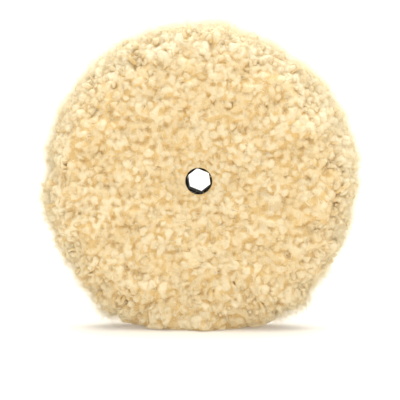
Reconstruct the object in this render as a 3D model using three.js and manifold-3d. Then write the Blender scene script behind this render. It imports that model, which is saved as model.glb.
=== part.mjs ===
// Double-sided tufted wool buffing pad with a moulded hexagonal hub.
//
// Frame, in millimetres: the pad stands on its edge. +Z is up, the hub's axis runs along Y, and the
// front face looks towards -Y. The origin is on the floor, under the middle of the pad.
// Both halves of the pad are alike, so one half is built towards -Y and turned about Z for the rear.
import * as THREE from 'three';
import { mergeVertices } from 'three/addons/utils/BufferGeometryUtils.js';
import Module from 'manifold-3d';

// Overall pad
const PAD_RADIUS = 115;
const PAD_HALF_THICKNESS = 25;
const HUB_HEIGHT = 109; // the pile squashes by 6 mm where the pad stands on it
const GAP = 0.3; // between pieces that touch

// Hub: two moulded halves with a hexagonal bore of 5/8 in across flats
const HEX_ACROSS_FLATS = 15.9;
const HEX_TURN = THREE.MathUtils.degToRad(8); // a corner leans this far left of straight up
const HUB_HALF_LENGTH = 11;
const BOSS_RADIUS = 12;
const FLANGE_RADIUS = 35;
const FLANGE_THICKNESS = 1.6;
const MOUTH_RADIUS = 9.8; // round lead-in at each end of the bore
const MOUTH_DEPTH = 1.4;

// Layers of one half, as distances from the middle plane
const FLANGE_TOP = GAP / 2 + FLANGE_THICKNESS;
const LATEX_FROM = FLANGE_TOP + GAP;
const LATEX_TO = LATEX_FROM + 0.8;
const CLOTH_FROM = LATEX_TO + GAP;
const CLOTH_TO = CLOTH_FROM + 1;
const PILE_FROM = CLOTH_TO + GAP;
const LAYER_BORE = BOSS_RADIUS + GAP;
const LATEX_RADIUS = 98;
const CLOTH_RADIUS = 99;
const CORE_RADIUS = 97;

// Pile: low round the hub, full over the working band, rounded at the rim
const WELL_HEIGHT = 13.5;
const CROWN_FROM = 46;
const CROWN_TO = 90;
const RIM_HALF_BAND = 7;

// Rivets through both flanges, both latex coats and both cloths
const RIVET_COUNT = 6;
const RIVET_CIRCLE = 25;
const RIVET_SHANK = 2;
const RIVET_HEAD = 4;
const RIVET_HEAD_HEIGHT = 1.2;

// Seams: one closes the pocket round the flanges, one closes the edge
const HUB_SEAM_RADIUS = 41;
const EDGE_SEAM_RADIUS = 93;
const THREAD_RADIUS = 0.6;
const GROOVE_TOP = PILE_FROM + 1.5;

// Facets
const ROUND_STEPS = 60;
const BORE_STEPS = 36;
const SMALL_STEPS = 12;
const SECTION_STEPS = 4;
const SEAM_STEPS = 40;
const THREAD_STEPS = 4;

const wasm = await Module();
wasm.setup();

// Materials
const finish = (color, roughness, metalness = 0) => (
  new THREE.MeshStandardMaterial({ color, roughness, metalness })
);
const wool = finish(0xefd8a6, 0.95);
const canvas = finish(0xd9c7a0, 0.9);
const latex = finish(0xe8dfc4, 0.7);
const felt = finish(0xb9b2a4, 0.95);
const nylon = finish(0x101011, 0.3);
const aluminium = finish(0xb8babd, 0.35, 1);
const thread = finish(0xf2ead8, 0.7);

// A geometry with only shared positions, its faces pointing out
function welded(geometry) {
  geometry.deleteAttribute('normal');
  geometry.deleteAttribute('uv');
  const merged = mergeVertices(geometry, 1e-4);
  if (signedVolume(merged) < 0) {
    const index = merged.index.array;
    for (let i = 0; i < index.length; i += 3) {
      [index[i], index[i + 1]] = [index[i + 1], index[i]];
    }
  }
  return merged;
}

function signedVolume(geometry) {
  const position = geometry.attributes.position;
  const corners = [new THREE.Vector3(), new THREE.Vector3(), new THREE.Vector3()];
  let volume = 0;
  for (let i = 0; i < geometry.index.count; i += 3) {
    corners.forEach((corner, k) => corner.fromBufferAttribute(position, geometry.index.getX(i + k)));
    volume += corners[0].dot(corners[1].clone().cross(corners[2])) / 6;
  }
  return volume;
}

function toManifold(geometry) {
  const merged = welded(geometry);
  const mesh = new wasm.Mesh({
    numProp: 3,
    vertProperties: new Float32Array(merged.attributes.position.array),
    triVerts: new Uint32Array(merged.index.array),
  });
  return new wasm.Manifold(mesh);
}

function fromManifold(solid) {
  const mesh = solid.getMesh();
  const geometry = new THREE.BufferGeometry();
  geometry.setAttribute('position', new THREE.BufferAttribute(new Float32Array(mesh.vertProperties), 3));
  geometry.setIndex(new THREE.BufferAttribute(new Uint32Array(mesh.triVerts), 1));
  geometry.computeVertexNormals();
  return geometry;
}

function piece(name, geometry, material) {
  const mesh = new THREE.Mesh(geometry, material);
  mesh.name = name;
  return mesh;
}

function circle(x, y, radius, steps) {
  const points = [];
  for (let i = 0; i < steps; i += 1) {
    const angle = (2 * Math.PI * i) / steps;
    points.push(new THREE.Vector2(x + radius * Math.cos(angle), y + radius * Math.sin(angle)));
  }
  return points;
}

function hexagon(acrossFlats, turn) {
  const cornerRadius = acrossFlats / Math.sqrt(3);
  const corners = [];
  for (let i = 0; i < 6; i += 1) {
    const angle = Math.PI / 2 + turn + (i * Math.PI) / 3;
    corners.push(new THREE.Vector2(cornerRadius * Math.cos(angle), cornerRadius * Math.sin(angle)));
  }
  return new THREE.Shape(corners);
}

function rivetPlaces() {
  const places = [];
  for (let i = 0; i < RIVET_COUNT; i += 1) {
    const angle = (2 * Math.PI * (i + 0.5)) / RIVET_COUNT;
    places.push(new THREE.Vector2(RIVET_CIRCLE * Math.cos(angle), RIVET_CIRCLE * Math.sin(angle)));
  }
  return places;
}

function disc(radius, steps, holes = []) {
  const shape = new THREE.Shape(circle(0, 0, radius, steps));
  shape.holes.push(...holes.map((points) => new THREE.Path(points)));
  return shape;
}

function rivetHoles() {
  return rivetPlaces().map((place) => circle(place.x, place.y, RIVET_SHANK + GAP, SMALL_STEPS));
}

// A flat piece that reaches from one distance in front of the middle plane to another
function plate(shape, from, to) {
  const geometry = new THREE.ExtrudeGeometry(shape, { depth: to - from, bevelEnabled: false });
  geometry.rotateX(Math.PI / 2);
  geometry.translate(0, -from, 0);
  return geometry;
}

function layer(radius, from, to) {
  const bore = circle(0, 0, LAYER_BORE, BORE_STEPS);
  return welded(plate(disc(radius, ROUND_STEPS, [bore, ...rivetHoles()]), from, to));
}

// One moulded hub half: flange and boss, with the hexagonal bore and its round lead-in
function hubHalf(turn) {
  const flange = toManifold(plate(disc(FLANGE_RADIUS, BORE_STEPS, rivetHoles()), GAP / 2, FLANGE_TOP));
  const boss = toManifold(plate(disc(BOSS_RADIUS, BORE_STEPS), GAP / 2, HUB_HALF_LENGTH));
  const bore = toManifold(plate(hexagon(HEX_ACROSS_FLATS, turn), -1, HUB_HALF_LENGTH + 1));
  const mouth = toManifold(leadIn());
  return fromManifold(flange.add(boss).subtract(bore).subtract(mouth));
}

// The cone that the lead-in removes; it stands a little proud of the hub's end
function leadIn() {
  const overshoot = 0.5;
  const slope = 1;
  const inner = MOUTH_RADIUS - MOUTH_DEPTH * slope;
  const profile = [
    new THREE.Vector2(0, -(HUB_HALF_LENGTH - MOUTH_DEPTH)),
    new THREE.Vector2(inner, -(HUB_HALF_LENGTH - MOUTH_DEPTH)),
    new THREE.Vector2(MOUTH_RADIUS + overshoot * slope, -(HUB_HALF_LENGTH + overshoot)),
    new THREE.Vector2(0, -(HUB_HALF_LENGTH + overshoot)),
  ];
  return new THREE.LatheGeometry(profile, BORE_STEPS);
}

// The pile's section on one side: well wall, splay, crown, rounded rim, then back along the cloth
function pileSection() {
  const section = new THREE.Path();
  section.moveTo(LAYER_BORE, -PILE_FROM);
  section.lineTo(LAYER_BORE, -WELL_HEIGHT);
  section.bezierCurveTo(22, -19, 32, -PAD_HALF_THICKNESS, CROWN_FROM, -PAD_HALF_THICKNESS);
  section.lineTo(CROWN_TO, -PAD_HALF_THICKNESS);
  section.absellipse(
    CROWN_TO, -RIM_HALF_BAND,
    PAD_RADIUS - CROWN_TO, PAD_HALF_THICKNESS - RIM_HALF_BAND,
    -Math.PI / 2, 0, false, 0,
  );
  section.lineTo(PAD_RADIUS, -GAP / 2);
  section.lineTo(CLOTH_RADIUS + GAP, -GAP / 2);
  section.lineTo(CLOTH_RADIUS + GAP, -PILE_FROM);
  groove(section, EDGE_SEAM_RADIUS, THREAD_RADIUS + GAP);
  groove(section, HUB_SEAM_RADIUS, THREAD_RADIUS + GAP);
  groove(section, RIVET_CIRCLE, RIVET_HEAD + GAP);
  section.lineTo(LAYER_BORE, -PILE_FROM);
  return section.getPoints(SECTION_STEPS);
}

// Room under the pile for a seam or for the rivet heads
function groove(section, radius, halfWidth) {
  section.lineTo(radius + halfWidth, -PILE_FROM);
  section.lineTo(radius + halfWidth, -GROOVE_TOP);
  section.lineTo(radius - halfWidth, -GROOVE_TOP);
  section.lineTo(radius - halfWidth, -PILE_FROM);
}

// The pile is a ring, flat at the bottom where the pad's weight squashes it
function pile() {
  const ring = toManifold(new THREE.LatheGeometry(pileSection(), ROUND_STEPS));
  const floor = new THREE.BoxGeometry(4 * PAD_RADIUS, 4 * PAD_HALF_THICKNESS, 2 * PAD_RADIUS);
  floor.translate(0, 0, -HUB_HEIGHT - PAD_RADIUS);
  return fromManifold(ring.subtract(toManifold(floor)));
}

function seam(radius) {
  const centre = PILE_FROM + THREAD_RADIUS;
  const section = [];
  for (let i = 0; i <= THREAD_STEPS; i += 1) {
    const angle = (2 * Math.PI * (i % THREAD_STEPS)) / THREAD_STEPS;
    const across = radius + THREAD_RADIUS * Math.cos(angle);
    section.push(new THREE.Vector2(across, -centre + THREAD_RADIUS * Math.sin(angle)));
  }
  return welded(new THREE.LatheGeometry(section, SEAM_STEPS));
}

// A headed rivet along Y, clinched to an equal head at the rear
function rivet() {
  const under = PILE_FROM;
  const top = under + RIVET_HEAD_HEIGHT;
  const crown = RIVET_HEAD * 0.55;
  const profile = [
    [0, -top],
    [crown, -top],
    [RIVET_HEAD, -under - RIVET_HEAD_HEIGHT / 3],
    [RIVET_HEAD, -under],
    [RIVET_SHANK, -under],
    [RIVET_SHANK, under],
    [RIVET_HEAD, under],
    [RIVET_HEAD, under + RIVET_HEAD_HEIGHT / 3],
    [crown, top],
    [0, top],
  ];
  return welded(new THREE.LatheGeometry(profile.map(([r, y]) => new THREE.Vector2(r, y)), SMALL_STEPS));
}

function coreRing() {
  const middle = circle(0, 0, FLANGE_RADIUS + GAP, BORE_STEPS);
  return welded(plate(disc(CORE_RADIUS, ROUND_STEPS, [middle]), -FLANGE_TOP, FLANGE_TOP));
}

// Everything on one side of the middle plane
function padHalf(side, turn) {
  const half = new THREE.Group();
  half.add(
    piece(`${side}_wool_pile`, pile(), wool),
    piece(`${side}_backing_cloth`, layer(CLOTH_RADIUS, CLOTH_FROM, CLOTH_TO), canvas),
    piece(`${side}_latex_coat`, layer(LATEX_RADIUS, LATEX_FROM, LATEX_TO), latex),
    piece(`${side}_hub_half`, hubHalf(turn), nylon),
    piece(`${side}_hub_seam`, seam(HUB_SEAM_RADIUS), thread),
    piece(`${side}_edge_seam`, seam(EDGE_SEAM_RADIUS), thread),
  );
  return half;
}

const pad = new THREE.Group();
pad.position.z = HUB_HEIGHT;

const front = padHalf('front', HEX_TURN);
const rear = padHalf('rear', -HEX_TURN);
rear.rotation.z = Math.PI;
pad.add(front, rear, piece('core_ring', coreRing(), felt));

rivetPlaces().forEach((place, i) => {
  const mesh = piece(`hub_rivet_${i + 1}`, rivet(), aluminium);
  mesh.position.set(place.x, 0, place.y);
  pad.add(mesh);
});

const group = new THREE.Group();
group.add(pad);

export default group;
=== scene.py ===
import math

import bpy
import numpy as np
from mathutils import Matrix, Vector
from mathutils.geometry import delaunay_2d_cdt


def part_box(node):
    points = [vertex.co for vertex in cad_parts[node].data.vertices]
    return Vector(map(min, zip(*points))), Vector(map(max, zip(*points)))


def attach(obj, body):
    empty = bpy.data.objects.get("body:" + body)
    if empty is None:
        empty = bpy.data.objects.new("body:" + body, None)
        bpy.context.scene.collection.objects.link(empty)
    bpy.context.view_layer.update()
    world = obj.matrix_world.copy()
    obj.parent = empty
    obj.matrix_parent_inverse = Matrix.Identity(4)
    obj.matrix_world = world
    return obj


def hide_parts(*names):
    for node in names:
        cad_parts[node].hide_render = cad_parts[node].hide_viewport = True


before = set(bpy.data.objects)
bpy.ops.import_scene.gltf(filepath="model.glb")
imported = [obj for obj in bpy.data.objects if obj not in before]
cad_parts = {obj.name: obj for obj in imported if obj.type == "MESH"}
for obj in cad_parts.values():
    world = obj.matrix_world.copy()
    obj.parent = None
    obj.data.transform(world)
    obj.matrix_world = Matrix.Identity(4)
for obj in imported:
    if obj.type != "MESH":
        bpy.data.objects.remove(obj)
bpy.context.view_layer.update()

# ---- Sizes from the frame, in metres. The hub's axis runs along Y and the front face looks towards -Y.
PILE_LOW, PILE_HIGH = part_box("front_wool_pile")
HUB_LOW, HUB_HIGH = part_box("front_hub_half")
CORE_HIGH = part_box("core_ring")[1]
CLOTH_LOW, CLOTH_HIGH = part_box("front_backing_cloth")
PAD_RADIUS = (PILE_HIGH.x - PILE_LOW.x) / 2
HALF_THICKNESS = -PILE_LOW.y
HUB_Z = PILE_HIGH.z - PAD_RADIUS
HUB_END = -HUB_LOW.y
FLANGE_RADIUS = HUB_HIGH.x
CLOTH_RADIUS = CLOTH_HIGH.x
CLOTH_FACE = -CLOTH_LOW.y
CLOTH_BACK = -CLOTH_HIGH.y
CORE_RADIUS = CORE_HIGH.x
CORE_HALF_THICKNESS = CORE_HIGH.y

# ---- The pile's skin, as distances from the hub's axis and from the middle plane
WELL_RADIUS = 0.0098  # the wool closes over the hub's end up to here
WELL_DEPTH = 0.0125
CROWN_FROM = 0.046
CROWN_TO = 0.082
RIM_HALF_BAND = 0.007
LIP = 0.0016  # width of the felted edge round the hub's end, without tufts
RIM_FULL = 0.012  # distances along the skin from the rim's middle
RIM_FADES = 0.030
SECTION_STEPS = 40

# ---- The knobs that the tufts' ends make in the pile
KNOB_GAP = 0.0050  # least distance between two knobs
KNOB_RADIUS = 0.0031
KNOB_SIZES = (0.8, 1.3)  # a knob's radius lies between these shares of that
KNOB_STRETCHES = (0.85, 1.2)
KNOB_HEIGHT = 0.0019  # how far a knob's side falls off within its radius
KNOB_SPREAD = 0.00035  # how unequal the knobs' heights are, and how much more so at the rim
RIM_SPREAD = 0.0005
PIT_DEPTH = 0.0014  # the pits between the knobs
PIT_UNEVEN = 0.0007
PIT_PATCH = 0.008  # pits come in patches of this size, and knobs merge between them
CREASE_SOFTNESS = 0.0006
WARP_SIZE = 0.006  # the knobs' outlines are bent by WARP in waves this long
WARP = 0.0005
MATTED_FROM = 0.010  # round the hub the tufts are pressed small and flat
MATTED_TO = 0.028
MATTED_SCALE = 0.55
CLUMPS = ((0.014, 0.0006), (0.027, 0.0013))  # wavelength, height: neighbours stand high or low together
FLEECE_GRAIN = ((0.0085, 0.0004), (0.0032, 0.00014), (0.0017, 0.00007))  # wavelength, height
SHADE_PATCHES = ((0.031, 0.35), (0.015, 0.35), (0.009, 0.30))  # wavelength, share of the range of shades
HOLLOW_PAINTED_SHADE = 0.2  # painted shade: hollows between clumps are painted in a darker tone
KNOB_SHADE = 0.15  # and each knob has a shade of its own
FLEECE_STEP = 0.00056  # mesh size along the skin
FLEECE_TURN_STEPS = 1200

# ---- The rim, which begins between these distances from the hub's axis
RIM_FROM = 0.085
RIM_TO = 0.105
RIM_SWELL_SIZE = 0.040  # its outline is uneven
RIM_SWELL_HEIGHT = 0.0012
RIM_SINK = 0.0034  # its mass lies this much under the fuzz, except where the pad stands
RIM_SINK_HEIGHTS = (0.005, 0.050)  # heights over the floor between which it comes to do so
PAINTED_RIM_LIGHT_FROM = 0.094  # painted light: distances from the hub's axis between which the rim's wool is painted paler, for the light that falls on it
PAINTED_RIM_LIGHT_TO = 0.113
PAINTED_RIM_LIGHT_HEIGHT = 0.10  # the painted light is full only above this height, so the rim is painted lighter at the top than at the foot
PAINTED_RIM_LIGHT_TOP_REACH = 0.009  # and between these heights it reaches this much nearer to the hub, where the top catches the most light
PAINTED_RIM_LIGHT_TOP_HEIGHTS = (0.15, 0.22)

# ---- The foot, where the pad stands on its wool
SQUASH_SOFTNESS = 0.0014
SQUASH_SPREAD = 0.045  # the wool spreads sideways there
SQUASH_SPREAD_HEIGHT = 0.020
SQUASH_LEFT = 0.45  # it spreads further to the left by this share
SQUASH_LEFT_WIDTH = 0.04
SQUASH_SAG = 0.0012  # and it sags on the floor beside that place
SQUASH_SAG_HEIGHT = 0.010

# ---- What lies under the pile
GAP = 0.0003  # clearance between neighbouring pieces
BOSS_RADIUS = 0.012
RIVETS = 6
RIVET_CIRCLE = 0.025
RIVET_SHANK = 0.002
RIVET_HEAD = 0.004
HUB_SEAM_RADIUS = 0.041
EDGE_SEAM_RADIUS = 0.093
THREAD_RADIUS = 0.00042
STITCH = 0.0040  # pitch of the stitches
STITCH_SHARE = 0.88  # how much of the pitch a stitch takes
STITCH_SLANT = 0.00012
STITCH_LIFT = 0.0001
STITCH_RISE = 0.00045
STITCH_SIDES = 8
STITCH_RINGS = 11
GROOVE_HALF_WIDTH = 0.0009
GROOVE_DEPTH = 0.0015
LAYER_GRID = 0.0030  # mesh size of the cloths and the core
CLOTH_WAVE = 0.00008
CLOTH_WAVE_SIZE = 2 * math.pi / 260
WEAVE_PITCH = 0.0016

# ---- Pieces
SEED = 11
SECTORS = 4  # of each half
CLEAR_OF_FLOOR = 0.008  # no tuft or loose fibre stands out below this height

# ---- Tufts that stand out of the pile
TUFTS_PER_SECTOR = 260
TUFT_LENGTH = 0.0095
TUFT_RADIUS = 0.0017
TUFT_FACE_SHARE = 0.12  # tufts for an area of the face, for one near the rim's middle
TUFT_LEAN = 0.5  # how far the tufts away from the hub lean outwards
TUFT_SIDES = 12
TUFT_RINGS = 7  # along the shaft, before its round end
END_ANGLES = (20, 40, 58, 74, 85)  # rings of the round end, in degrees
PLIES = 3  # of the yarn and of the sewing thread
LUMP_SIZES = ((0.0030, 0.00028), (0.0014, 0.00014))  # wavelength and height of the curls in a tuft
TILES = 4  # the yarn's texture holds TILES x TILES shades of yarn

# ---- Locks: curled strands that lie over the knobs
LOCKS_PER_SECTOR = 500
LOCK_SIDES = 5
LOCK_RINGS = 8
LOCK_RADIUS = 0.0004
LOCK_LENGTH = 0.0062

# ---- Loose fibres that stand out of the pile
FIBRES_PER_SECTOR = 7500
FIBRE_RADIUS = 0.00005
FIBRE_ROOT = 0.0004  # depth at which a fibre begins
FIBRE_FACE_SHARE = 0.4  # fibres for an area of the face, for one at the rim's middle
FIBRE_LENGTHS = (0.003, 0.0065)
RIM_FIBRE_STRETCH = 1.2  # fibres at the middle of the rim are longer by this share
FIBRE_SIDES = 3
FIBRE_RINGS = 5


def rng_for(name):
    """A random generator of its own for each thing that's made."""
    return np.random.default_rng([SEED, *name.encode()])


def unit(v):
    return v / np.linalg.norm(v, axis=-1, keepdims=True)


def smooth_step(low, high, value):
    t = np.clip((value - low) / (high - low), 0, 1)
    return t * t * (3 - 2 * t)


def full_turn(steps):
    return np.linspace(0, 2 * math.pi, steps, endpoint=False)


# ---- Meshes
def mesh_object(name, vertices, faces, material, uv=None, smooth=True):
    """A mesh piece. faces is a list of index arrays, one for each number of corners."""
    mesh = bpy.data.meshes.new(name)
    vertices = vertices.reshape(-1, 3)
    loops = np.concatenate([f.ravel() for f in faces])
    totals = np.concatenate([np.full(len(f), f.shape[1]) for f in faces])
    starts = np.concatenate([[0], np.cumsum(totals)[:-1]])
    mesh.vertices.add(len(vertices))
    mesh.vertices.foreach_set("co", vertices.astype(np.float32).ravel())
    mesh.loops.add(len(loops))
    mesh.loops.foreach_set("vertex_index", loops.astype(np.int32))
    mesh.polygons.add(len(totals))
    mesh.polygons.foreach_set("loop_start", starts.astype(np.int32))
    mesh.polygons.foreach_set("loop_total", totals.astype(np.int32))
    mesh.polygons.foreach_set("use_smooth", np.full(len(totals), smooth))
    if uv is not None:
        layer = mesh.uv_layers.new(name="OFBake")
        layer.data.foreach_set("uv", uv.astype(np.float32).ravel())
    mesh.update(calc_edges=True)
    mesh.validate()
    mesh.materials.append(material)
    piece = bpy.data.objects.new(name, mesh)
    bpy.context.scene.collection.objects.link(piece)
    return piece


# ---- Material nodes
class Nodes:
    """Short calls for building a node tree."""

    def __init__(self, name):
        self.material = bpy.data.materials.new(name)
        self.material.use_nodes = True
        self.tree = self.material.node_tree
        self.shader = self.tree.nodes["Principled BSDF"]

    def add(self, kind, **inputs):
        node = self.tree.nodes.new(kind)
        for key, value in inputs.items():
            name = key.replace("_", " ")
            if name in node.inputs:
                self.put(node.inputs[name], value)
            else:
                setattr(node, key, value)
        return node

    def put(self, socket, value):
        if isinstance(value, bpy.types.NodeSocket):
            self.tree.links.new(value, socket)
        else:
            socket.default_value = value

    def math(self, operation, *values):
        node = self.add("ShaderNodeMath", operation=operation)
        for socket, value in zip(node.inputs, values):
            self.put(socket, value)
        return node.outputs[0]

    def plus(self, a, b):
        return self.math("ADD", a, b)

    def times(self, a, b):
        return self.math("MULTIPLY", a, b)

    def around(self, value, size):
        """A value of 0 to 1 turned into -size/2 to size/2."""
        return self.times(self.math("SUBTRACT", value, 0.5), size)

    def smooth_range(self, value, low, high):
        """0 below low, 1 above high, and a smooth rise between."""
        node = self.add(
            "ShaderNodeMapRange", Value=value, From_Min=low, From_Max=high, interpolation_type="SMOOTHSTEP",
        )
        return node.outputs[0]

    def mix(self, factor, a, b):
        node = self.add("ShaderNodeMix", data_type="RGBA")
        for index, value in ((0, factor), (6, a), (7, b)):
            self.put(node.inputs[index], value)
        return node.outputs[2]

    def noise(self, vector, scale, detail, roughness):
        node = self.add(
            "ShaderNodeTexNoise", Vector=vector, Scale=scale, Detail=detail, Roughness=roughness,
        )
        return node.outputs["Fac"]

    def bump(self, height, strength, distance):
        node = self.add("ShaderNodeBump", Strength=strength, Distance=distance, Height=height)
        self.set("Normal", node.outputs[0])

    def set(self, name, value):
        self.put(self.shader.inputs[name], value)

    def roughen(self, least, grain, amount):
        self.set("Roughness", self.plus(least, self.times(grain, amount)))

    def sheen(self, weight, tint):
        self.set("Sheen Weight", weight)
        self.set("Sheen Roughness", 0.4)
        self.set("Sheen Tint", tint)

    def place(self):
        return self.add("ShaderNodeTexCoord").outputs["Object"]


def rgb(red, green, blue):
    return (red, green, blue, 1.0)


WOOL_LIGHT = rgb(0.82, 0.695, 0.46)
WOOL_GOLD = rgb(0.77, 0.61, 0.35)
# painted shade: the darker golden tone that the pits and the strands' roots are painted with, for the shade
# there
WOOL_PAINTED_SHADE = rgb(0.72, 0.52, 0.24)
WOOL_PAINTED_RIM_LIGHT = rgb(0.93, 0.86, 0.66)  # painted light: the paler tone painted on the rim, where the light falls brightest
PAINTED_RIM_LIGHT_SHARE = 0.75  # how far the rim's knobs take that painted light, and its pits
PAINTED_RIM_LIGHT_PITS = 0.40
WOOL_SHEEN = 0.08
FIBRE_PALE = rgb(0.98, 0.93, 0.76)
FIBRE_GOLD = rgb(0.96, 0.84, 0.56)
FELT_DARK, FELT_LIGHT = rgb(0.33, 0.31, 0.27), rgb(0.60, 0.57, 0.50)
THREAD_DARK, THREAD_LIGHT = rgb(0.80, 0.74, 0.62), rgb(0.93, 0.89, 0.79)
LATEX_DARK, LATEX_LIGHT = rgb(0.71, 0.64, 0.46), rgb(0.86, 0.80, 0.64)


def wool_surface(n, tone, fibres, specular):
    """What the yarn and the fleece have in common: matte, with a faint sheen and the fibres' relief."""
    n.set("Base Color", tone)
    n.roughen(0.82, fibres, 0.15)
    n.set("Specular IOR Level", specular)
    n.sheen(WOOL_SHEEN, rgb(1.0, 0.93, 0.78))
    n.bump(fibres, 0.5, 0.0003)


def yarn_material():
    """Wool yarn: shade by tile, painted shade that darkens it towards the root, fibres that wind round the
    yarn.
    """
    n = Nodes("wool_yarn")
    uv = n.add("ShaderNodeUVMap", uv_map="OFBake").outputs[0]
    split = n.add("ShaderNodeSeparateXYZ", Vector=uv)
    across = n.times(split.outputs[0], float(TILES))
    along = n.times(split.outputs[1], float(TILES))
    column, row = n.math("FLOOR", across), n.math("FLOOR", along)
    turn, height = n.math("FRACT", across), n.math("FRACT", along)
    tile = n.math("MULTIPLY_ADD", row, float(TILES), column)
    shade = n.math("DIVIDE", tile, TILES * TILES - 1.0)
    wind = n.plus(n.times(turn, 2 * math.pi), n.times(height, 5.0))
    fibre_at = n.add(
        "ShaderNodeCombineXYZ",
        X=n.times(n.math("COSINE", wind), 3.0),
        Y=n.times(n.math("SINE", wind), 3.0),
        Z=n.plus(n.times(height, 2.5), n.times(shade, 40.0)),
    ).outputs[0]
    fibres = n.noise(fibre_at, 3.2, 4.0, 0.6)
    clumps = n.noise(fibre_at, 0.8, 2.0, 0.5)
    # painted shade: darker towards the root, where the yarn goes down into the pile
    lift = n.smooth_range(height, 0.3, 0.85)
    body = n.mix(shade, WOOL_GOLD, WOOL_LIGHT)
    painted_tone = n.mix(lift, WOOL_PAINTED_SHADE, body)
    value = n.plus(1.0, n.plus(n.around(fibres, 0.3), n.around(clumps, 0.2)))
    tone = n.add("ShaderNodeHueSaturation", Color=painted_tone, Value=value).outputs[0]
    wool_surface(n, tone, fibres, 0.15)
    return n.material


def fleece_material():
    """The mass of the pile: painted shade golden in the creases, cream on the knobs, with fibre grain."""
    n = Nodes("wool_fleece")
    place = n.place()
    made = n.add("ShaderNodeAttribute", attribute_name="wool")
    split = n.add("ShaderNodeSeparateColor", Color=made.outputs["Color"])
    top, shade = split.outputs[0], split.outputs[1]
    bend = n.add("ShaderNodeTexNoise", Vector=place, Scale=170.0, Detail=2.0)
    bent = n.add("ShaderNodeVectorMath", operation="MULTIPLY_ADD")
    for socket, value in zip(bent.inputs, (bend.outputs["Color"], (0.006, 0.006, 0.006), place)):
        n.put(socket, value)
    fibres = n.noise(bent.outputs[0], 2300.0, 3.0, 0.6)
    clumps = n.noise(place, 420.0, 3.0, 0.5)
    body = n.mix(n.plus(shade, n.around(clumps, 0.8)), WOOL_GOLD, WOOL_LIGHT)
    # painted shade: the pits between the knobs are painted darker
    rise = n.smooth_range(top, 0.0, 1.0)
    painted_tone = n.mix(rise, WOOL_PAINTED_SHADE, body)
    # painted light: the rim, and most of all its top, is painted paler, less so in its pits
    rim_light_share = n.math("MULTIPLY_ADD", rise, PAINTED_RIM_LIGHT_SHARE - PAINTED_RIM_LIGHT_PITS, PAINTED_RIM_LIGHT_PITS)
    painted_tone = n.mix(n.times(split.outputs[2], rim_light_share), painted_tone, WOOL_PAINTED_RIM_LIGHT)
    value = n.plus(1.0, n.around(fibres, 0.25))
    tone = n.add("ShaderNodeHueSaturation", Color=painted_tone, Value=value).outputs[0]
    wool_surface(n, tone, fibres, 0.12)
    return n.material


def fibre_material():
    """Single wool fibres, pale and a little uneven in tone."""
    n = Nodes("wool_fibre")
    place = n.place()
    tone = n.noise(place, 900.0, 3.0, 0.6)
    n.set("Base Color", n.mix(tone, FIBRE_GOLD, FIBRE_PALE))
    n.roughen(0.7, tone, 0.25)
    n.set("Specular IOR Level", 0.15)
    n.sheen(0.3, rgb(1.0, 0.95, 0.85))
    return n.material


def nylon_material():
    """Glossy black moulded nylon with a faint mould texture."""
    n = Nodes("hub_nylon")
    place = n.place()
    grain = n.noise(place, 2600.0, 2.0, 0.5)
    flow = n.noise(place, 90.0, 3.0, 0.5)
    n.set("Base Color", n.mix(flow, rgb(0.004, 0.004, 0.004), rgb(0.010, 0.009, 0.008)))
    n.roughen(0.5, flow, 0.2)
    n.set("Specular IOR Level", 0.2)
    n.bump(grain, 0.15, 0.00008)
    return n.material


def canvas_material():
    """Plain-woven cotton canvas: threads over and under each other."""
    n = Nodes("cotton_canvas")
    place = n.place()
    split = n.add("ShaderNodeSeparateXYZ", Vector=place)
    turns = 2 * math.pi / WEAVE_PITCH
    warp = n.math("SINE", n.times(split.outputs[0], turns))
    weft = n.math("SINE", n.times(split.outputs[2], turns))
    weave = n.plus(0.5, n.times(n.times(warp, weft), 0.5))
    slubs = n.noise(place, 600.0, 3.0, 0.6)
    tone = n.plus(n.times(weave, 0.6), n.times(slubs, 0.4))
    n.set("Base Color", n.mix(tone, rgb(0.47, 0.38, 0.22), rgb(0.72, 0.62, 0.41)))
    n.roughen(0.8, slubs, 0.15)
    n.set("Specular IOR Level", 0.2)
    n.bump(tone, 0.6, 0.0002)
    return n.material


def speckled_material(name, dark, light, scale, roughness, bump_height):
    """Nodes of a material with a mottled tone and a fine relief of the same grain."""
    n = Nodes(name)
    place = n.place()
    grain = n.noise(place, scale, 4.0, 0.6)
    patches = n.noise(place, scale / 12, 3.0, 0.5)
    tone = n.plus(n.times(grain, 0.6), n.times(patches, 0.4))
    n.set("Base Color", n.mix(tone, dark, light))
    n.roughen(roughness, grain, 0.15)
    n.bump(grain, 0.5, bump_height)
    return n


def aluminium_material():
    """Bare aluminium, slightly mottled by the rivet's forming."""
    n = speckled_material(
        "rivet_aluminium", rgb(0.55, 0.56, 0.57), rgb(0.72, 0.73, 0.74), 1400.0, 0.28, 0.00003,
    )
    n.set("Metallic", 1.0)
    return n.material


# ---- The pile's skin
def front_section():
    """Points (radius, depth) of the skin on one side, from the hub to the middle of the rim."""
    t = np.linspace(0, 1, SECTION_STEPS)[:, None]
    corners = np.array([  # of the curve from the hub's well up to the crown
        (WELL_RADIUS, WELL_DEPTH),
        (0.021, 0.0185),
        (0.031, HALF_THICKNESS),
        (CROWN_FROM, HALF_THICKNESS),
    ])
    splay = sum(math.comb(3, k) * (1 - t) ** (3 - k) * t**k * corners[k] for k in range(4))
    angle = np.linspace(math.pi / 2, 0, SECTION_STEPS)
    rim = np.stack([
        CROWN_TO + (PAD_RADIUS - CROWN_TO) * np.cos(angle),
        RIM_HALF_BAND + (HALF_THICKNESS - RIM_HALF_BAND) * np.sin(angle),
    ], axis=1)
    return np.concatenate([splay, rim, [[PAD_RADIUS, 0.0]]])


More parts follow.
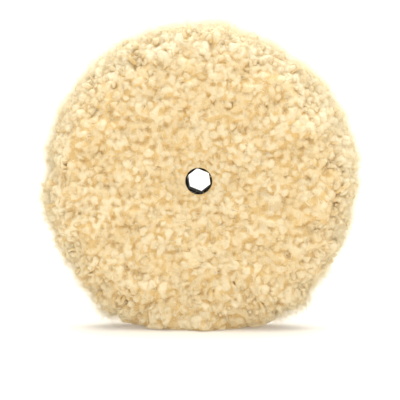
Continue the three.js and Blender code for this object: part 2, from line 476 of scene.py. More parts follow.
class Skin:
    """The whole skin as a curve (radius, y) by its length, turned about the hub's axis."""

    def __init__(self):
        front = front_section()
        rear = front[::-1][1:]
        self.radius = np.concatenate([front[:, 0], rear[:, 0]])
        self.y = np.concatenate([-front[:, 1], rear[:, 1]])
        steps = np.hypot(np.diff(self.radius), np.diff(self.y))
        self.at = np.concatenate([[0], np.cumsum(steps)])
        self.length = self.at[-1]
        middles = (self.radius[1:] + self.radius[:-1]) / 2
        self.area = 2 * math.pi * float((middles * steps).sum())

    def radius_at(self, s):
        return np.interp(s, self.at, self.radius)

    def rim_share(self, s):
        """1 over the middle of the rim, down to 0 where the faces begin."""
        return smooth_step(RIM_FADES, RIM_FULL, np.abs(s - self.length / 2))

    def point(self, s, theta):
        r = self.radius_at(s)
        y = np.interp(s, self.at, self.y)
        return np.stack([r * np.cos(theta), y, HUB_Z + r * np.sin(theta)], axis=-1)

    def normal(self, s, theta):
        step = 0.0015
        low, high = np.clip(s - step, 0, self.length), np.clip(s + step, 0, self.length)
        dr = self.radius_at(high) - self.radius_at(low)
        dy = np.interp(high, self.at, self.y) - np.interp(low, self.at, self.y)
        return unit(np.stack([dy * np.cos(theta), -dr, dy * np.sin(theta)], axis=-1))

    def pick(self, count, start, end, rng):
        """Random places spread evenly over the skin between two parts of its area, 0 to 1."""
        fine = np.linspace(0, self.length, 4000)
        area = np.cumsum(self.radius_at(fine))
        part = start + (end - start) * rng.random(count)
        return np.clip(np.interp(part * area[-1], area, fine), LIP, self.length - LIP)

    def scatter(self, rng):
        """Places spread over the skin, none nearer to another than the knobs' gap there."""
        tries = int(16 * self.area / KNOB_GAP**2)
        near_hub = self.at[SECTION_STEPS] * rng.random(tries // 8) ** 0.7
        s = np.concatenate([self.pick(tries, 0, 1, rng), near_hub, self.length - near_hub])
        theta = rng.random(len(s)) * 2 * math.pi
        clear = (s > LIP) & (s < self.length - LIP)
        s, theta = s[clear], theta[clear]
        points = self.point(s, theta)
        keep = far_apart(points, KNOB_GAP * matted_scale(points))
        return s[keep], theta[keep]


def matted_scale(points):
    """The tufts' size: 1 over most of the pad, less where they are pressed flat round the hub."""
    from_hub = np.hypot(points[..., 0], points[..., 2] - HUB_Z)
    return MATTED_SCALE + (1 - MATTED_SCALE) * smooth_step(MATTED_FROM, MATTED_TO, from_hub)


def far_apart(points, gaps):
    """Indices of points taken in turn, each at least its gap from those taken before."""
    cells = {}
    kept = []
    keys = np.floor(points / gaps.max()).astype(int)
    around = [(i, j, k) for i in (-1, 0, 1) for j in (-1, 0, 1) for k in (-1, 0, 1)]
    for index, (key, p, gap) in enumerate(zip(keys.tolist(), points.tolist(), gaps.tolist())):
        near = (q for i, j, k in around for q in cells.get((key[0] + i, key[1] + j, key[2] + k), ()))
        if all((p[0] - q[0]) ** 2 + (p[1] - q[1]) ** 2 + (p[2] - q[2]) ** 2 >= gap * gap for q in near):
            cells.setdefault(tuple(key), []).append(p)
            kept.append(index)
    return np.array(kept)


def ripple(points, wavelength, rng):
    """A smooth random field between about -1 and 1, from a sum of waves."""
    count = 24
    scale = 2 * math.pi / wavelength
    directions = unit(rng.normal(size=(count, 3))) * scale * rng.uniform(0.6, 1.4, (count, 1))
    phases = rng.uniform(0, 2 * math.pi, count)
    return np.sin(points @ directions.T + phases).sum(-1) * math.sqrt(2.0 / count)


def settle(points):
    """Presses what would be under the floor flat on it, and lets it spread a little."""
    x, y, z = np.moveaxis(points, -1, 0)
    height = np.clip(z, 0, None)
    uneven = 1 - SQUASH_LEFT * np.tanh(x / SQUASH_LEFT_WIDTH)
    spread = 1 + SQUASH_SPREAD * uneven * np.exp(-(height / SQUASH_SPREAD_HEIGHT) ** 2)
    sagged = z - SQUASH_SAG * np.exp(-(height / SQUASH_SAG_HEIGHT) ** 2)
    pressed = SQUASH_SOFTNESS * np.logaddexp(0, sagged / SQUASH_SOFTNESS)
    return np.stack([x * spread, y, pressed], axis=-1)


# ---- The fleece: the pile's outer surface
class Fleece:
    """The skin raised into a knob round each tuft's end, on a grid of rows (s) and columns (theta)."""

    def __init__(self, skin):
        rng = rng_for("fleece")
        self.skin = skin
        self.half_rows = round(skin.length / 2 / FLEECE_STEP)
        self.rows = 2 * self.half_rows + 1
        self.s = np.linspace(0, skin.length, self.rows)
        self.theta = full_turn(FLEECE_TURN_STEPS)
        s, theta = np.meshgrid(self.s, self.theta, indexing="ij")
        self.points = skin.point(s, theta)
        self.normals = skin.normal(s, theta)
        self.scale = matted_scale(self.points)
        self.add_knobs(rng)
        for wavelength, height in FLEECE_GRAIN:
            self.height += height * self.scale * ripple(self.points, wavelength, rng)
        self.height *= smooth_step(0, 2 * LIP, np.minimum(s, skin.length - s))

    def add_knobs(self, rng):
        """Soft greatest of the pits' floor and a dome for each tuft's end."""
        relief = self.relief(rng)
        patches = ripple(self.points, PIT_PATCH, rng)
        floor = relief + self.scale * (PIT_UNEVEN * patches - PIT_DEPTH)
        # painted shade: low places in the relief take a darker tone
        mood = 0.5 + HOLLOW_PAINTED_SHADE * (relief + self.rim * RIM_SINK) / CLUMPS[-1][1]
        for wavelength, size in SHADE_PATCHES:
            mood = mood + size * ripple(self.points, wavelength, rng)
        knobs = self.knobs(relief, mood, rng)
        self.warp_along = WARP * self.scale * ripple(self.points, WARP_SIZE, rng)
        self.warp_across = WARP * self.scale * ripple(self.points, WARP_SIZE, rng)
        weight = np.exp(floor / CREASE_SOFTNESS)
        weighted_shade = weight * mood
        for s, theta, scale, radius, height, shade, stretch, turn in zip(*knobs):
            window, along, across = self.around(s, theta, 2.0 * radius)
            long = (along * math.cos(turn) + across * math.sin(turn)) / stretch
            short = (across * math.cos(turn) - along * math.sin(turn)) * stretch
            near = (long**2 + short**2) / radius**2
            share = np.exp((height - KNOB_HEIGHT * scale * near**1.5) / CREASE_SOFTNESS)
            weight[window] += share
            weighted_shade[window] += share * shade
        self.height = CREASE_SOFTNESS * np.log(weight)
        # height above the pits, with which the fleece's material paints shade into the pits
        self.above_pits = (self.height - relief) / (PIT_DEPTH * self.scale) + 1
        self.shade = weighted_shade / weight

    def knobs(self, relief, mood, rng):
        """Place, scale, radius, height, shade, stretch and turn of each knob."""
        s, theta = self.skin.scatter(rng)
        count = len(s)
        row = np.rint(s / self.s[1]).astype(int)
        column = np.rint(theta / self.theta[1]).astype(int) % FLEECE_TURN_STEPS
        scale = self.scale[row, column]
        radius = KNOB_RADIUS * scale * rng.uniform(*KNOB_SIZES, count)
        uneven = KNOB_SPREAD * scale + RIM_SPREAD * self.rim[row, column]
        height = relief[row, column] + uneven * rng.normal(size=count)
        shade = mood[row, column] + KNOB_SHADE * rng.normal(size=count)
        stretch = rng.uniform(*KNOB_STRETCHES, count)
        turn = rng.uniform(0, math.pi, count)
        return s, theta, scale, radius, height, shade, stretch, turn

    def around(self, s, theta, reach):
        """The part of the grid within reach of a place, and the distances from it along s and across."""
        round_radius = self.skin.radius_at(s)
        row_step, column_step = self.s[1], self.theta[1]
        low = max(int((s - reach) / row_step), 0)
        high = min(int((s + reach) / row_step) + 2, self.rows)
        first = int((theta - reach / round_radius) / column_step)
        last = int((theta + reach / round_radius) / column_step) + 2
        columns = np.arange(first, last)
        window = np.ix_(np.arange(low, high), columns % FLEECE_TURN_STEPS)
        along = self.s[low:high, None] - s + self.warp_along[window]
        across = (columns * column_step - theta)[None] * round_radius + self.warp_across[window]
        return window, along, across

    def relief(self, rng):
        """Broad unevenness: clumps of tufts, and the rim's swells."""
        from_hub = np.hypot(self.points[..., 0], self.points[..., 2] - HUB_Z)
        self.rim = smooth_step(RIM_FROM, RIM_TO, from_hub)
        z = self.points[..., 2]
        # painted light: a mask that paints the rim paler, reaching further in at the top
        reach = from_hub + PAINTED_RIM_LIGHT_TOP_REACH * smooth_step(*PAINTED_RIM_LIGHT_TOP_HEIGHTS, z)
        self.open = smooth_step(PAINTED_RIM_LIGHT_FROM, PAINTED_RIM_LIGHT_TO, reach) * smooth_step(0.0, PAINTED_RIM_LIGHT_HEIGHT, z)
        swell = RIM_SWELL_HEIGHT * ripple(self.points, RIM_SWELL_SIZE, rng)
        sink = RIM_SINK * smooth_step(*RIM_SINK_HEIGHTS, z)
        height = self.rim * (swell - sink)
        for wavelength, size in CLUMPS:
            height += self.scale * size * ripple(self.points, wavelength, rng)
        return height

    def height_at(self, s, theta):
        """The fleece's height above the skin at any place."""
        row = np.clip(s / self.s[1], 0, self.rows - 1.001)
        column = (theta % (2 * math.pi)) / self.theta[1]
        i, j = row.astype(int), column.astype(int)
        a, b = row - i, column - j
        j, k = j % FLEECE_TURN_STEPS, (j + 1) % FLEECE_TURN_STEPS
        near = self.height[i, j] * (1 - b) + self.height[i, k] * b
        far = self.height[i + 1, j] * (1 - b) + self.height[i + 1, k] * b
        return near * (1 - a) + far * a

    def surface(self, s, theta, above):
        """Points at a height above the fleece."""
        lift = self.height_at(s, theta) + above
        return self.skin.point(s, theta) + self.skin.normal(s, theta) * lift[..., None]

    def piece(self, half, number, material):
        """One sector of one half, as a closed solid that reaches down to the cloth."""
        front = half == "front"
        middle = self.half_rows
        rows = np.arange(middle + 1) if front else np.arange(self.rows - 1, middle - 1, -1)
        width = FLEECE_TURN_STEPS // SECTORS
        columns = np.arange(number * width, (number + 1) * width + 1) % FLEECE_TURN_STEPS
        grid = np.ix_(columns, rows)
        lifted = self.points + self.normals * self.height[..., None]
        outer = np.swapaxes(lifted, 0, 1)[grid]
        sign = -1 if front else 1
        angle = self.theta[columns][:, None]
        radius, depth = np.array(INNER_SECTION).T
        inner = np.stack([
            radius * np.cos(angle),
            sign * np.broadcast_to(depth, (len(columns), len(depth))),
            HUB_Z + radius * np.sin(angle),
        ], axis=-1)
        vertices = settle(np.concatenate([outer, inner], axis=1))
        faces, uv = swept_faces(len(columns), vertices.shape[1], len(rows), front)
        piece = mesh_object(f"{half}_fleece_{number + 1}", vertices, faces, material, uv)
        wool = np.zeros((*vertices.shape[:2], 4))
        # the colour attribute holds the height above the pits for the painted shade, the tone, and the
        # painted rim light
        for channel, field in enumerate((np.clip(self.above_pits, 0, 1), self.shade, self.open)):
            wool[:, :len(rows), channel] = field.T[grid]
        layer = piece.data.color_attributes.new("wool", "FLOAT_COLOR", "POINT")
        layer.data.foreach_set("color", wool.astype(np.float32).ravel())
        return piece


def groove(radius, half_width):
    """Room under the pile for a seam or for the rivets' heads, outer side first."""
    under, top = CLOTH_FACE + GAP, CLOTH_FACE + GAP + GROOVE_DEPTH
    outer, inner = radius + half_width, radius - half_width
    return [(outer, under), (outer, top), (inner, top), (inner, under)]


INNER_SECTION = (
    (CLOTH_RADIUS + GAP, GAP),
    (CLOTH_RADIUS + GAP, CLOTH_FACE + GAP),
    *groove(EDGE_SEAM_RADIUS, GROOVE_HALF_WIDTH),
    *groove(HUB_SEAM_RADIUS, GROOVE_HALF_WIDTH),
    *groove(RIVET_CIRCLE, RIVET_HEAD + GAP),
    (BOSS_RADIUS + GAP, CLOTH_FACE + GAP),
    (BOSS_RADIUS + GAP, HUB_END + GAP),
    (WELL_RADIUS, HUB_END + GAP),
)


def swept_faces(columns, around, outer_rows, front):
    """Faces and texture coordinates of a closed section swept through columns, with both ends capped.

    The rear half's section runs the other way round, so its faces are turned over.
    """
    i = np.arange(columns - 1)[:, None]
    j = np.arange(around)[None]
    after = (j + 1) % around
    quads = np.stack(np.broadcast_arrays(
        i * around + j, i * around + after, (i + 1) * around + after, (i + 1) * around + j,
    ), axis=-1).reshape(-1, 4)
    side = 0.05 + 0.9 * np.arange(columns) / (columns - 1)
    height = 0.05 + 0.9 * np.arange(around) / (outer_rows - 1)
    u = np.stack([side[:-1], side[:-1], side[1:], side[1:]], axis=-1)[:, None]
    v = np.stack([height, height[after[0]], height[after[0]], height], axis=-1)[None]
    hidden = (j[0] >= outer_rows - 1)[None, :, None]
    uv = np.stack(np.broadcast_arrays(np.where(hidden, u * 0.04, u), np.where(hidden, 0.01, v)), axis=-1)
    uv = uv.reshape(-1, 4, 2)
    caps = np.concatenate([j[:, ::-1], j + (columns - 1) * around])
    if not front:
        quads, uv, caps = quads[:, ::-1], uv[:, ::-1], caps[:, ::-1]
    cap_uv = np.broadcast_to([[[0.02, 0.02]]], (*caps.shape, 2))
    return [quads, caps], np.concatenate([uv.reshape(-1, 2), cap_uv.reshape(-1, 2)])


# ---- Strands: where they are
def sector_places(skin, half, number, count, rng, spare=1, likely=None):
    """Random places over one sector of one half, kept with the likelihood at each if it's given."""
    start, end = (0, 0.5) if half == "front" else (0.5, 1)
    s = skin.pick(spare * count, start, end, rng)
    if likely is not None:
        s = s[rng.random(len(s)) < likely(s)][:count]
    theta = (number + rng.random(len(s))) * 2 * math.pi / SECTORS
    return s, theta


def above_floor(skin, s, theta):
    clear = skin.point(s, theta)[:, 2] > CLEAR_OF_FLOOR
    return s[clear], theta[clear]


def yarn_shades(count, rng, skipped=1 / 3):
    """A tile of the yarn's texture for each strand, without a share of the darkest ones."""
    return rng.integers(int(TILES * TILES * skipped), TILES * TILES, count)


# ---- Tufts that stand out
def tuft_paths(tips, normals, length, rng):
    """Centrelines (tuft, ring, 3) and the place along them 0..1, curled at the end."""
    count = len(tips)
    side = unit(np.cross(normals, unit(rng.normal(size=(count, 3)))))
    lean = unit(normals + side * np.abs(rng.normal(0, 0.35, (count, 1))))
    hook = unit(np.cross(lean, unit(rng.normal(size=(count, 3)))))
    binormal = np.cross(lean, hook)
    curl = rng.uniform(0.2, 2.2, (count, 1))
    sway = rng.uniform(-0.6, 0.6, (count, 1))
    t = np.linspace(0, 1, 40)
    angle = curl * np.clip((t[None] - 0.25) / 0.75, 0, 1) ** 1.6
    drift = sway * np.sin(t[None] * 3.1)
    direction = unit(
        lean[:, None] * np.cos(angle)[..., None]
        + hook[:, None] * np.sin(angle)[..., None]
        + binormal[:, None] * drift[..., None]
    )
    step = length[:, None, None] / (len(t) - 1)
    path = np.concatenate([np.zeros((count, 1, 3)), np.cumsum(direction[:, 1:] * step, axis=1)], axis=1)
    rise = np.einsum("nkc,nc->nk", path, normals)
    top = np.argmax(rise, axis=1)
    highest = path[np.arange(count), top]
    return path + (tips - highest)[:, None], t


def along_paths(path, t, at):
    """Each path's points at the places at (tuft, ring), by straight steps between its own points."""
    position = at * (len(t) - 1)
    low = np.clip(np.floor(position).astype(int), 0, len(t) - 2)
    part = (position - low)[..., None]
    rows = np.arange(len(path))[:, None]
    return path[rows, low] * (1 - part) + path[rows, low + 1] * part


def frames_along(centres):
    """Two directions across each path, carried along it without twist."""
    tangent = unit(np.gradient(centres, axis=1))
    first = np.zeros_like(centres)
    first[:, 0] = unit(np.cross(tangent[:, 0], [0.31, 0.83, 0.46]))
    for i in range(1, centres.shape[1]):
        previous = first[:, i - 1]
        flat = previous - (previous * tangent[:, i]).sum(-1, keepdims=True) * tangent[:, i]
        first[:, i] = unit(flat)
    return first, np.cross(tangent, first)


def tuft_arrays(tips, normals, shade, rng):
    """Closed, plied tufts with round ends."""
    count = len(tips)
    length = TUFT_LENGTH * rng.uniform(0.85, 1.25, count)
    radius = TUFT_RADIUS * rng.uniform(0.65, 1.25, count)
    path, t = tuft_paths(tips, normals, length, rng)
    round_from = (1 - radius / length)[:, None]
    shaft = np.linspace(0, 1, TUFT_RINGS)[None] * round_from
    ends = np.radians(END_ANGLES)[None]
    at = np.concatenate([shaft, round_from + (1 - round_from) * np.sin(ends)], axis=1)
    bulge = 0.75 + 0.25 * np.sin(np.linspace(0, math.pi / 2, TUFT_RINGS))
    size = np.concatenate([bulge, np.cos(ends[0])])[None] * radius[:, None]
    centres = along_paths(path, t, at)
    phi = full_turn(TUFT_SIDES)
    wind = rng.uniform(3.0, 6.5, (count, 1, 1))
    phase = rng.uniform(0, 2 * math.pi, (count, 1, 1))
    depth = rng.uniform(0.08, 0.2, (count, 1, 1))
    ply = 1 + depth * np.cos(PLIES * (phi[None, None] + wind * at[..., None]) + phase)
    vertices = tube_points(centres, phi, size[..., None] * ply)
    away = unit(vertices - along_paths(path, t, np.minimum(at, round_from))[:, :, None])
    for wavelength, height in LUMP_SIZES:
        vertices = vertices + away * (ripple(vertices, wavelength, rng) * height)[..., None]
    rise = np.einsum("nrsc,nc->nrs", vertices - tips[:, None, None], normals).max((1, 2))
    vertices = vertices - (rise[:, None] * normals)[:, None, None]
    return settle(vertices), *tube_faces(count, at.shape[1], TUFT_SIDES, at, shade)


def tube_points(centres, phi, reach):
    """Points at the angles phi round tubes whose centrelines run tube, ring."""
    first, second = frames_along(centres)
    around = (
        first[:, :, None] * np.cos(phi)[None, None, :, None]
        + second[:, :, None] * np.sin(phi)[None, None, :, None]
    )
    return centres[:, :, None] + around * reach[..., None]


def tube_faces(count, rings, sides, at, shade):
    """Quads, end caps and texture coordinates for tubes whose vertices run tube, ring, side."""
    base = (np.arange(count) * rings * sides)[:, None, None]
    ring = (np.arange(rings - 1) * sides)[None, :, None]
    side = np.arange(sides)[None, None]
    after = (side + 1) % sides
    quads = np.stack([
        base + ring + side,
        base + ring + after,
        base + ring + sides + after,
        base + ring + sides + side,
    ], axis=-1).reshape(-1, 4)
    root = (base[:, 0] + np.arange(sides)[::-1][None]).reshape(-1, sides)
    end = (base[:, 0] + (rings - 1) * sides + np.arange(sides)[None]).reshape(-1, sides)
    column, row = shade % TILES, shade // TILES
    margin = 0.04
    scale = (1 - 2 * margin) / TILES
    left = (column + margin) / TILES
    low = (row + margin) / TILES
    u = np.arange(sides + 1) / sides * scale
    quad_u = np.stack([u[:-1], u[1:], u[1:], u[:-1]], axis=-1)[None, None] + left[:, None, None, None]
    # v runs from root to tip; the yarn's material paints shade towards the root by it
    v = at * scale + low[:, None]
    quad_v = np.stack([v[:, :-1], v[:, :-1], v[:, 1:], v[:, 1:]], axis=-1)[:, :, None]
    quad_uv = np.stack(np.broadcast_arrays(quad_u, quad_v), axis=-1).reshape(-1, 2)
    cap_u = left[:, None] + scale / 2 + np.cos(side[0] * 2 * math.pi / sides) * scale * 0.05
    root_uv = np.stack([cap_u, np.broadcast_to(low[:, None], cap_u.shape)], axis=-1)
    end_uv = np.stack([cap_u, np.broadcast_to((low + scale)[:, None], cap_u.shape)], axis=-1)
    uv = np.concatenate([quad_uv, root_uv.reshape(-1, 2), end_uv.reshape(-1, 2)])
    return [quads, np.concatenate([root, end])], uv


def standing_tufts(fleece, half, number, rng):
    """Tufts that stand proud of the fleece, most of them round the rim."""
    skin = fleece.skin

    def likely(s):
        from_middle = np.abs(s - skin.length / 2)
        return TUFT_FACE_SHARE + (1 - TUFT_FACE_SHARE) * smooth_step(0.055, 0.015, from_middle)

    places = sector_places(skin, half, number, TUFTS_PER_SECTOR, rng, 6, likely)
    s, theta = above_floor(skin, *places)
    outward = np.stack([np.cos(theta), np.zeros(len(s)), np.sin(theta)], axis=-1)
    from_hub = skin.radius_at(s)
    lean = TUFT_LEAN * smooth_step(0.02, 0.09, from_hub)
    normals = unit(skin.normal(s, theta) + outward * lean[:, None])
    rim = smooth_step(RIM_FROM, RIM_TO, from_hub)
    proud = 0.0002 + (0.0004 + 0.0008 * rim) * np.abs(rng.normal(size=len(s)))
    tips = skin.point(s, theta) + normals * (fleece.height_at(s, theta) + proud)[:, None]
    return tuft_arrays(tips, normals, yarn_shades(len(s), rng), rng)


# ---- Locks that lie over the knobs
def locks(fleece, half, number, rng):
    """Curled strands that rise out of the fleece, run over it and sink into it again."""
    skin = fleece.skin
    s, theta = sector_places(skin, half, number, LOCKS_PER_SECTOR, rng)
    count = len(s)
    scale = matted_scale(skin.point(s, theta))[:, None]
    length = LOCK_LENGTH * rng.uniform(0.5, 1.4, (count, 1)) * scale
    t = np.linspace(0, 1, LOCK_RINGS)[None]
    curl = rng.uniform(-2.6, 2.6, (count, 1))
    wiggle_size = rng.uniform(0.2, 0.9, (count, 1))
    wiggle_turns = rng.uniform(4, 9, (count, 1))
    wiggle = wiggle_size * np.sin(t * wiggle_turns + rng.uniform(0, 6.3, (count, 1)))
    heading = rng.uniform(0, 2 * math.pi, (count, 1)) + curl * t + wiggle
    step = length / (LOCK_RINGS - 1)
    s_path = s[:, None] + np.cumsum(np.cos(heading) * step, axis=1)
    s_path = np.clip(s_path, LIP, skin.length - LIP)
    theta_path = theta[:, None] + np.cumsum(np.sin(heading) * step, axis=1) / skin.radius_at(s)[:, None]
    thick = LOCK_RADIUS * scale * rng.uniform(0.55, 1.3, (count, 1))
    above = thick * (-0.9 + 1.5 * np.sin(math.pi * t) ** 0.7 + rng.uniform(-0.2, 0.5, (count, 1)))
    centres = fleece.surface(s_path, theta_path, above)
    taper = np.sqrt(np.sin(math.pi * (0.07 + 0.86 * t)))
    phi = full_turn(LOCK_SIDES)
    vertices = settle(tube_points(centres, phi, (thick * taper)[..., None]))
    # the lock's ends, where it sinks into the fleece, take a little of the yarn's painted shade
    along = np.broadcast_to(0.75 + 0.25 * np.sin(math.pi * t), (count, LOCK_RINGS))
    return vertices, *tube_faces(count, LOCK_RINGS, LOCK_SIDES, along, yarn_shades(count, rng))


# ---- Loose fibres
def loose_fibres(fleece, half, number, rng):
    """Fine curled fibres that stand out of the fleece."""
    skin = fleece.skin

    def likely(s):
        return FIBRE_FACE_SHARE + (1 - FIBRE_FACE_SHARE) * skin.rim_share(s)

    places = sector_places(skin, half, number, FIBRES_PER_SECTOR, rng, 3, likely)
    s, theta = above_floor(skin, *places)
    normals = skin.normal(s, theta)
    count = len(s)
    rim = skin.rim_share(s)
    across = unit(np.cross(normals, rng.normal(size=(count, 3))))
    binormal = np.cross(normals, across)
    length = rng.uniform(*FIBRE_LENGTHS, count) * (1 + RIM_FIBRE_STRETCH * rim)
    bend = rng.uniform(0.4, 3.2, (count, 1)) * (1 - 0.5 * rim[:, None])
    tilt = rng.uniform(0.1, 1.2, (count, 1)) * (1 - 0.4 * rim[:, None])
    at = np.broadcast_to(np.linspace(0, 1, FIBRE_RINGS), (count, FIBRE_RINGS))
    angle = tilt + bend * at
    wave = 0.5 * np.sin(at * rng.uniform(2, 7, (count, 1)) + rng.uniform(0, 6.3, (count, 1)))
    direction = unit(
        normals[:, None] * np.cos(angle)[..., None]
        + across[:, None] * np.sin(angle)[..., None]
        + binormal[:, None] * wave[..., None]
    )
    step = (length / (FIBRE_RINGS - 1))[:, None, None]
    centres = np.concatenate([np.zeros((count, 1, 3)), np.cumsum(direction[:, 1:] * step, axis=1)], axis=1)
    centres = centres + fleece.surface(s, theta, np.full(count, -FIBRE_ROOT))[:, None]
    phi = full_turn(FIBRE_SIDES)
    thick = FIBRE_RADIUS * rng.uniform(0.6, 1.3, (count, 1)) * (1 - 0.75 * at**2)
    vertices = settle(tube_points(centres, phi, thick[..., None]))
    shades = yarn_shades(count, rng, 1 / 2)
    return vertices, *tube_faces(count, FIBRE_RINGS, FIBRE_SIDES, 0.8 + 0.2 * at, shades)


# ---- The layers and seams under the pile
def circle(x, z, radius, steps, first=0.0):
    angle = (np.arange(steps) + first) * 2 * math.pi / steps
    return np.stack([x + radius * np.cos(angle), z + radius * np.sin(angle)], axis=1)


def layer(name, radius, holes, y_low, y_high, wave, material):
    """A flat round layer with holes (x, z, radius), as a closed mesh with a slight wave in it."""
    rng = rng_for(name)
    steps = round(2 * math.pi * radius / LAYER_GRID)
    loops = [circle(0, 0, radius, steps)]
    loops += [circle(x, z, r, max(24, round(2 * math.pi * r / LAYER_GRID))) for x, z, r in holes]
    across = np.arange(-radius, radius, LAYER_GRID)
    grid = np.stack(np.meshgrid(across, across), axis=-1).reshape(-1, 2)
    grid = grid + rng.uniform(-0.25, 0.25, grid.shape) * LAYER_GRID
    clear = np.hypot(*grid.T) < radius - 0.6 * LAYER_GRID
    for x, z, r in holes:
        clear &= np.hypot(grid[:, 0] - x, grid[:, 1] - z) > r + 0.5 * LAYER_GRID
    flat = np.concatenate([*loops, grid[clear]])
    edges = []
    start = 0
    for loop in loops:
        edges += [(start + i, start + (i + 1) % len(loop)) for i in range(len(loop))]
        start += len(loop)
    triangles = np.array(delaunay_2d_cdt([Vector(p) for p in flat], edges, [], 0, 1e-9)[2])
    middle = flat[triangles].mean(1)
    inside = np.hypot(*middle.T) < radius
    for x, z, r in holes:
        inside &= np.hypot(middle[:, 0] - x, middle[:, 1] - z) > r * 0.999
    triangles = triangles[inside]
    count = len(flat)
    lift = wave * ripple(np.insert(flat, 1, 0, axis=1), CLOTH_WAVE_SIZE, rng)
    low = np.stack([flat[:, 0], y_low + lift, HUB_Z + flat[:, 1]], axis=1)
    high = np.stack([flat[:, 0], y_high + lift, HUB_Z + flat[:, 1]], axis=1)
    walls = np.array([(a, b, b + count, a + count) for a, b in edges])
    outer = len(loops[0])
    walls[:outer] = walls[:outer, ::-1]
    faces = [np.concatenate([triangles, triangles[:, ::-1] + count]), walls]
    return mesh_object(name, np.concatenate([low, high]), faces, material, smooth=False)


def cloth(half, material):
    """The woven cloth that holds the tufts, with holes for the hub and the rivets."""
    holes = [(0, 0, BOSS_RADIUS + GAP)]
    holes += [(x, z, RIVET_SHANK + GAP) for x, z in circle(0, 0, RIVET_CIRCLE, RIVETS, 0.5)]
    near, far = (-CLOTH_FACE, -CLOTH_BACK) if half == "front" else (CLOTH_BACK, CLOTH_FACE)
    piece = layer(half + "_canvas", CLOTH_RADIUS, holes, near, far, CLOTH_WAVE, material)
    return piece


def seam(half, label, radius, material):
    """A ring of stitches that rise from the cloth, run along it and go down again."""
    count = round(2 * math.pi * radius / STITCH)
    t = np.linspace(0, 1, STITCH_RINGS)[None]
    turn = (np.arange(count)[:, None] + 0.5 + STITCH_SHARE * (t - 0.5)) * 2 * math.pi / count
    slant = radius + STITCH_SLANT * (2 * t - 1)
    rise = CLOTH_FACE + THREAD_RADIUS + STITCH_LIFT + STITCH_RISE * np.sin(math.pi * t) ** 0.6
    sign = -1 if half == "front" else 1
    centres = np.stack([
        slant * np.cos(turn),
        np.broadcast_to(sign * rise, turn.shape),
        HUB_Z + slant * np.sin(turn),
    ], axis=-1)
    phi = full_turn(STITCH_SIDES)
    plies = 1 + 0.1 * np.cos(PLIES * phi[None] + 9.0 * t.T)
    reach = THREAD_RADIUS * 0.9 * plies * np.sin(math.pi * (0.12 + 0.76 * t.T)) ** 0.35
    vertices = tube_points(centres, phi, reach[None])
    at = np.broadcast_to(t, (count, STITCH_RINGS))
    faces, uv = tube_faces(count, STITCH_RINGS, STITCH_SIDES, at, np.arange(count) % (TILES * TILES))
    return mesh_object(f"{half}_{label}_stitches", vertices, faces, material, uv)


def under_pile():
    """The cloths, core, seams, latex coats and rivets."""
    canvas = canvas_material()
    felt = speckled_material("core_felt", FELT_DARK, FELT_LIGHT, 1300.0, 0.85, 0.0002)
    thread = speckled_material("sewing_thread", THREAD_DARK, THREAD_LIGHT, 2200.0, 0.6, 0.00006)
    latex = speckled_material("latex_coat", LATEX_DARK, LATEX_LIGHT, 500.0, 0.5, 0.0001)
    aluminium = aluminium_material()
    core = layer(
        "felt_core", CORE_RADIUS, [(0, 0, FLANGE_RADIUS + GAP)],
        -CORE_HALF_THICKNESS, CORE_HALF_THICKNESS, 0.0, felt.material,
    )
    adopt(core, "core_ring")
    for half in ("front", "rear"):
        adopt(cloth(half, canvas), half + "_backing_cloth")
        for label, radius in (("hub", HUB_SEAM_RADIUS), ("edge", EDGE_SEAM_RADIUS)):
            adopt(seam(half, label, radius, thread.material), f"{half}_{label}_seam")
        dress(half + "_latex_coat", latex.material)
    for i in range(RIVETS):
        dress(f"hub_rivet_{i + 1}", aluminium)


def adopt(piece, node):
    """Lets a piece stand for a node of the frame."""
    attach(piece, "root")
    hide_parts(node)


def dress(node, material):
    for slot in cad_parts[node].material_slots:
        slot.material = material


# ---- Floor, light and camera
CAMERA_AZIMUTH = 2.0  # degrees to the right of straight on
CAMERA_ELEVATION = 5.0
CAMERA_DISTANCE = 1.5
AIM_BELOW_HUB = 0.0150
AIM_RIGHT_OF_HUB = 0.0005
VIEW_WIDTH = 0.2935  # metres across the view at the hub
WORLD_LIGHT = 0.44
WORLD_SEEN = 1.2
FLOOR_GLOW = 0.22  # the floor is a lit sheet, which keeps its shadows pale
LAMPS = (  # name, azimuth (0 is in front of the pad, 90 to its right), elevation, strength, softness
    ("overhead_softbox", 8, 78, 1.6, 90),
    ("front_softbox", -4, 22, 0.42, 80),
    ("rear_softbox", 180, 76, 2.8, 70),
    ("left_softbox", -102, 35, 0.32, 90),
    ("right_softbox", 102, 35, 0.62, 90),
)


def add_floor():
    bpy.ops.mesh.primitive_plane_add(size=12, location=(0, 0, 0))
    floor = bpy.context.object
    floor.name = "floor"
    n = Nodes("pale_floor")
    n.set("Base Color", rgb(0.70, 0.67, 0.61))
    n.set("Emission Color", rgb(1.0, 0.95, 0.90))
    n.set("Emission Strength", FLOOR_GLOW)
    n.set("Roughness", 0.6)
    n.set("Specular IOR Level", 0.2)
    floor.data.materials.append(n.material)


def towards(azimuth, elevation):
    """A direction from its angles in degrees."""
    turn, rise = math.radians(azimuth), math.radians(elevation)
    return Vector((math.sin(turn) * math.cos(rise), -math.cos(turn) * math.cos(rise), math.sin(rise)))


def add_sun(name, azimuth, elevation, strength, softness):
    lamp = bpy.data.lights.new(name, "SUN")
    lamp.energy = strength
    lamp.angle = math.radians(softness)
    holder = bpy.data.objects.new(name, lamp)
    holder.rotation_euler = towards(azimuth, elevation).to_track_quat("Z", "Y").to_euler()
    bpy.context.scene.collection.objects.link(holder)


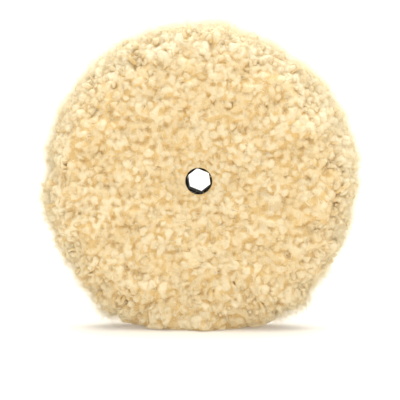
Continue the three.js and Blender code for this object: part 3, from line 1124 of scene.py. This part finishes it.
def add_lights():
    world = bpy.data.worlds.new("white_surround")
    world.use_nodes = True
    nodes, links = world.node_tree.nodes, world.node_tree.links
    background = nodes["Background"]
    background.inputs["Color"].default_value = rgb(1, 1, 1)
    path = nodes.new("ShaderNodeLightPath")
    strength = nodes.new("ShaderNodeMix")
    links.new(path.outputs["Is Camera Ray"], strength.inputs[0])
    strength.inputs[2].default_value = WORLD_LIGHT
    strength.inputs[3].default_value = WORLD_SEEN
    links.new(strength.outputs[0], background.inputs["Strength"])
    bpy.context.scene.world = world
    for lamp in LAMPS:
        add_sun(*lamp)


def add_camera():
    hub = Vector((0, 0, HUB_Z))
    right = towards(CAMERA_AZIMUTH + 90, 0)
    aim = hub + right * AIM_RIGHT_OF_HUB - Vector((0, 0, AIM_BELOW_HUB))
    data = bpy.data.cameras.new("camera")
    data.sensor_width = 36
    data.lens = data.sensor_width * CAMERA_DISTANCE / VIEW_WIDTH
    data.clip_start = 0.01
    camera = bpy.data.objects.new("camera", data)
    camera.location = hub + towards(CAMERA_AZIMUTH, CAMERA_ELEVATION) * CAMERA_DISTANCE
    camera.rotation_euler = (aim - camera.location).to_track_quat("-Z", "Y").to_euler()
    bpy.context.scene.collection.objects.link(camera)
    bpy.context.scene.camera = camera


# ---- Build
def main():
    add_camera()
    add_lights()
    add_floor()
    bpy.context.scene.view_settings.view_transform = "Standard"
    yarn = yarn_material()
    wool = fleece_material()
    nylon = nylon_material()
    strands = (
        ("tufts", standing_tufts, yarn),
        ("locks", locks, yarn),
        ("loose_fibres", loose_fibres, fibre_material()),
    )
    fleece = Fleece(Skin())
    for half in ("front", "rear"):
        for number in range(SECTORS):
            body = fleece.piece(half, number, wool)
            adopt(body, half + "_wool_pile")
            for kind, make, material in strands:
                name = f"{half}_{kind}_{number + 1}"
                vertices, faces, uv = make(fleece, half, number, rng_for(name))
                strand = mesh_object(name, vertices, faces, material, uv)
                adopt(strand, half + "_wool_pile")
        dress(half + "_hub_half", nylon)
    under_pile()


main()
